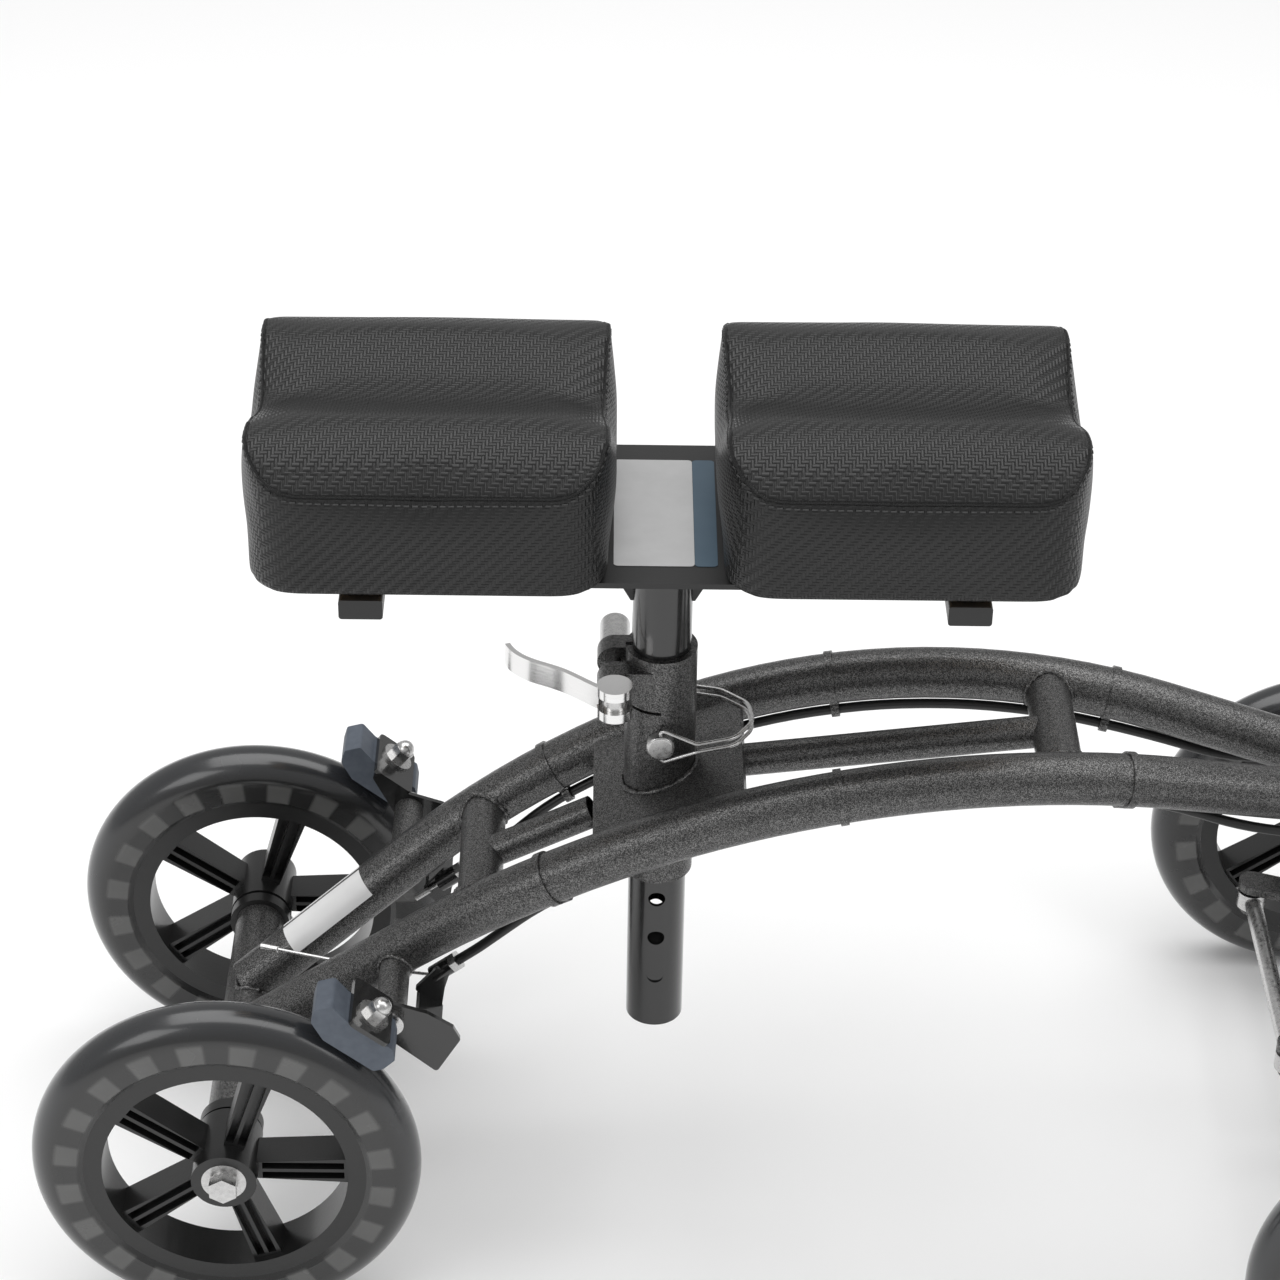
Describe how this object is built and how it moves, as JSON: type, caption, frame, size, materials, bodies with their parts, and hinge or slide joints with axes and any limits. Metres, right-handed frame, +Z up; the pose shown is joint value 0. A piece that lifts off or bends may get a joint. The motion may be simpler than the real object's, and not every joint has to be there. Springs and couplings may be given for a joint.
{
  "type": "knee scooter",
  "caption": "Steerable knee scooter with a double padded knee seat on an adjustable post, arched twin-rail frame, rear brakes and a folding handlebar.",
  "frame": {"origin": "On the floor, midway between the front and rear axles and midway between the left and right wheels.", "axes": "+X points forward, +Y to the rider's left, +Z up."},
  "size_m": [0.7754, 0.414, 0.9065],
  "materials": {
    "hammertone": "hammered satin",
    "black_gloss": "gloss",
    "black_satin": "satin",
    "black_plastic": "gloss",
    "zinc": "zinc plated",
    "polished_aluminium": "polished",
    "wheel_plastic": "gloss",
    "smoky_tyre": "translucent gloss",
    "brake_rubber": "matte",
    "vinyl": "embossed",
    "plywood": "raw",
    "grip_rubber": "matte",
    "cable_black": "satin"
  },
  "bodies": {
    "frame": {"left_rail": "hammertone", "right_rail": "hammertone", "cross_tubes": "hammertone", "seat_bracket": "hammertone", "centre_tubes": "hammertone", "rear_axle_tube": "hammertone", "axle_end_caps": "black_plastic", "seat_sleeve": "hammertone", "clamp_skewer": "zinc", "rear_axle_set": "zinc", "brake_bosses": "hammertone", "brake_pivot_bolts": "zinc", "head_tube": "hammertone", "head_bushes": "black_plastic", "front_axle_tubes": "hammertone", "frame_cables": "cable_black", "cable_clips": "cable_black"},
    "seat": {"seat_post": "black_gloss", "seat_plate": "black_satin", "pad_crossbars": "black_satin", "rear_pad": "vinyl", "front_pad": "vinyl", "pad_boards": "plywood", "pad_bolts": "zinc"},
    "clamp_lever": {"seat_clamp_lever": "polished_aluminium"},
    "pin": {"lock_pin": "zinc"},
    "bail": {"pin_bail": "zinc"},
    "rear_left_wheel": {"rear_left_wheel_core": "wheel_plastic", "rear_left_tyre": "smoky_tyre"},
    "rear_right_wheel": {"rear_right_wheel_core": "wheel_plastic", "rear_right_tyre": "smoky_tyre"},
    "front_left_wheel": {"front_left_wheel_core": "wheel_plastic", "front_left_tyre": "smoky_tyre"},
    "front_right_wheel": {"front_right_wheel_core": "wheel_plastic", "front_right_tyre": "smoky_tyre"},
    "left_brake": {"left_brake_arm": "black_gloss", "left_brake_shoe": "brake_rubber", "left_brake_hardware": "zinc"},
    "right_brake": {"right_brake_arm": "black_gloss", "right_brake_shoe": "brake_rubber", "right_brake_hardware": "zinc"},
    "steering": {"steering_column": "hammertone", "fold_bolt": "zinc"},
    "left_knuckle_body": {"left_knuckle": "hammertone", "front_left_axle_set": "zinc"},
    "right_knuckle_body": {"right_knuckle": "hammertone", "front_right_axle_set": "zinc"},
    "left_rod": {"left_tie_rod": "zinc"},
    "right_rod": {"right_tie_rod": "zinc"},
    "fold_handle": {"fold_lever": "polished_aluminium"},
    "mast_body": {"mast": "black_gloss", "mast_collar": "black_gloss", "collar_skewer": "zinc", "fold_cables": "cable_black"},
    "height_handle": {"height_lever": "polished_aluminium"},
    "bar": {"handlebar": "black_gloss", "grips": "grip_rubber", "lever_bracket": "black_plastic", "bar_cables": "cable_black"},
    "brake_handle": {"brake_lever": "polished_aluminium"}
  },
  "joints": [
    {"name": "rear_left_spin", "type": "hinge", "parent": "frame", "child": "rear_left_wheel", "pos_m": [-0.2925, 0.105, 0.09525], "axis": [0, 1, 0], "continuous": true},
    {"name": "rear_right_spin", "type": "hinge", "parent": "frame", "child": "rear_right_wheel", "pos_m": [-0.2925, -0.105, 0.09525], "axis": [0, 1, 0], "continuous": true},
    {"name": "front_left_spin", "type": "hinge", "parent": "left_knuckle_body", "child": "front_left_wheel", "pos_m": [0.2925, 0.181, 0.09525], "axis": [0, 1, 0], "continuous": true},
    {"name": "front_right_spin", "type": "hinge", "parent": "right_knuckle_body", "child": "front_right_wheel", "pos_m": [0.2925, -0.181, 0.09525], "axis": [0, 1, 0], "continuous": true},
    {"name": "seat_height", "type": "slide", "parent": "frame", "child": "seat", "axis": [0, 0, 1], "range_m": [-0.0245, 0.1225]},
    {"name": "seat_clamp", "type": "hinge", "parent": "frame", "child": "clamp_lever", "pos_m": [-0.1051, -0.02555, 0.316], "axis": [0, 0, 1], "range_deg": [0, 110]},
    {"name": "pin_pull", "type": "slide", "parent": "frame", "child": "pin", "axis": [0, -1, 0], "range_m": [0, 0.046]},
    {"name": "bail_swing", "type": "hinge", "parent": "pin", "child": "bail", "pos_m": [-0.0828, -0.0201, 0.285], "axis": [0, 0, 1], "range_deg": [-105, 0]},
    {"name": "left_brake_press", "type": "hinge", "parent": "frame", "child": "left_brake", "pos_m": [-0.2117, 0.085, 0.1683], "axis": [0, 1, 0], "range_deg": [-5.5, 0]},
    {"name": "right_brake_press", "type": "hinge", "parent": "frame", "child": "right_brake", "pos_m": [-0.2117, -0.085, 0.1683], "axis": [0, 1, 0], "range_deg": [-5.5, 0]},
    {"name": "steer", "type": "hinge", "parent": "frame", "child": "steering", "pos_m": [0.2925, 0, 0.2], "axis": [0, 0, 1], "range_deg": [-40, 40], "deforming": ["frame_cables"]},
    {"name": "left_knuckle_turn", "type": "hinge", "parent": "frame", "child": "left_knuckle_body", "pos_m": [0.2925, 0.138, 0.09525], "axis": [0, 0, 1], "range_deg": [-40, 40]},
    {"name": "right_knuckle_turn", "type": "hinge", "parent": "frame", "child": "right_knuckle_body", "pos_m": [0.2925, -0.138, 0.09525], "axis": [0, 0, 1], "range_deg": [-40, 40]},
    {"name": "left_rod_turn", "type": "hinge", "parent": "steering", "child": "left_rod", "pos_m": [0.2525, 0.014, 0.063], "axis": [0, 0, 1], "range_deg": [-40, 40]},
    {"name": "right_rod_turn", "type": "hinge", "parent": "steering", "child": "right_rod", "pos_m": [0.2525, -0.014, 0.063], "axis": [0, 0, 1], "range_deg": [-40, 40]},
    {"name": "mast_fold", "type": "hinge", "parent": "steering", "child": "mast_body", "pos_m": [0.2925, 0, 0.352], "axis": [0, 1, 0], "range_deg": [-45, 0], "deforming": ["fold_cables"]},
    {"name": "fold_clamp", "type": "hinge", "parent": "steering", "child": "fold_handle", "pos_m": [0.2925, -0.02855, 0.352], "axis": [0, 0, 1], "range_deg": [0, 110]},
    {"name": "handle_height", "type": "slide", "parent": "mast_body", "child": "bar", "axis": [0, 0, 1], "range_m": [-0.095, 0.115], "deforming": ["bar_cables"]},
    {"name": "height_clamp", "type": "hinge", "parent": "mast_body", "child": "height_handle", "pos_m": [0.2645, -0.02155, 0.635], "axis": [0, 0, 1], "range_deg": [-110, 0]},
    {"name": "brake_squeeze", "type": "hinge", "parent": "bar", "child": "brake_handle", "pos_m": [0.3265, -0.074, 0.89], "axis": [0, 0, 1], "range_deg": [-15, 0], "stiffness_Nm_per_rad": 2}
  ],
  "couplings": [
    {"joint": "left_knuckle_turn", "follows": "steer", "ratio": 1},
    {"joint": "right_knuckle_turn", "follows": "steer", "ratio": 1},
    {"joint": "left_rod_turn", "follows": "steer", "ratio": -1},
    {"joint": "right_rod_turn", "follows": "steer", "ratio": -1},
    {"joint": "bail_swing", "follows": "pin_pull", "rad_per_m": -39.84},
    {"joint": "left_brake_press", "follows": "brake_squeeze", "ratio": 0.36667},
    {"joint": "right_brake_press", "follows": "brake_squeeze", "ratio": 0.36667}
  ]
}
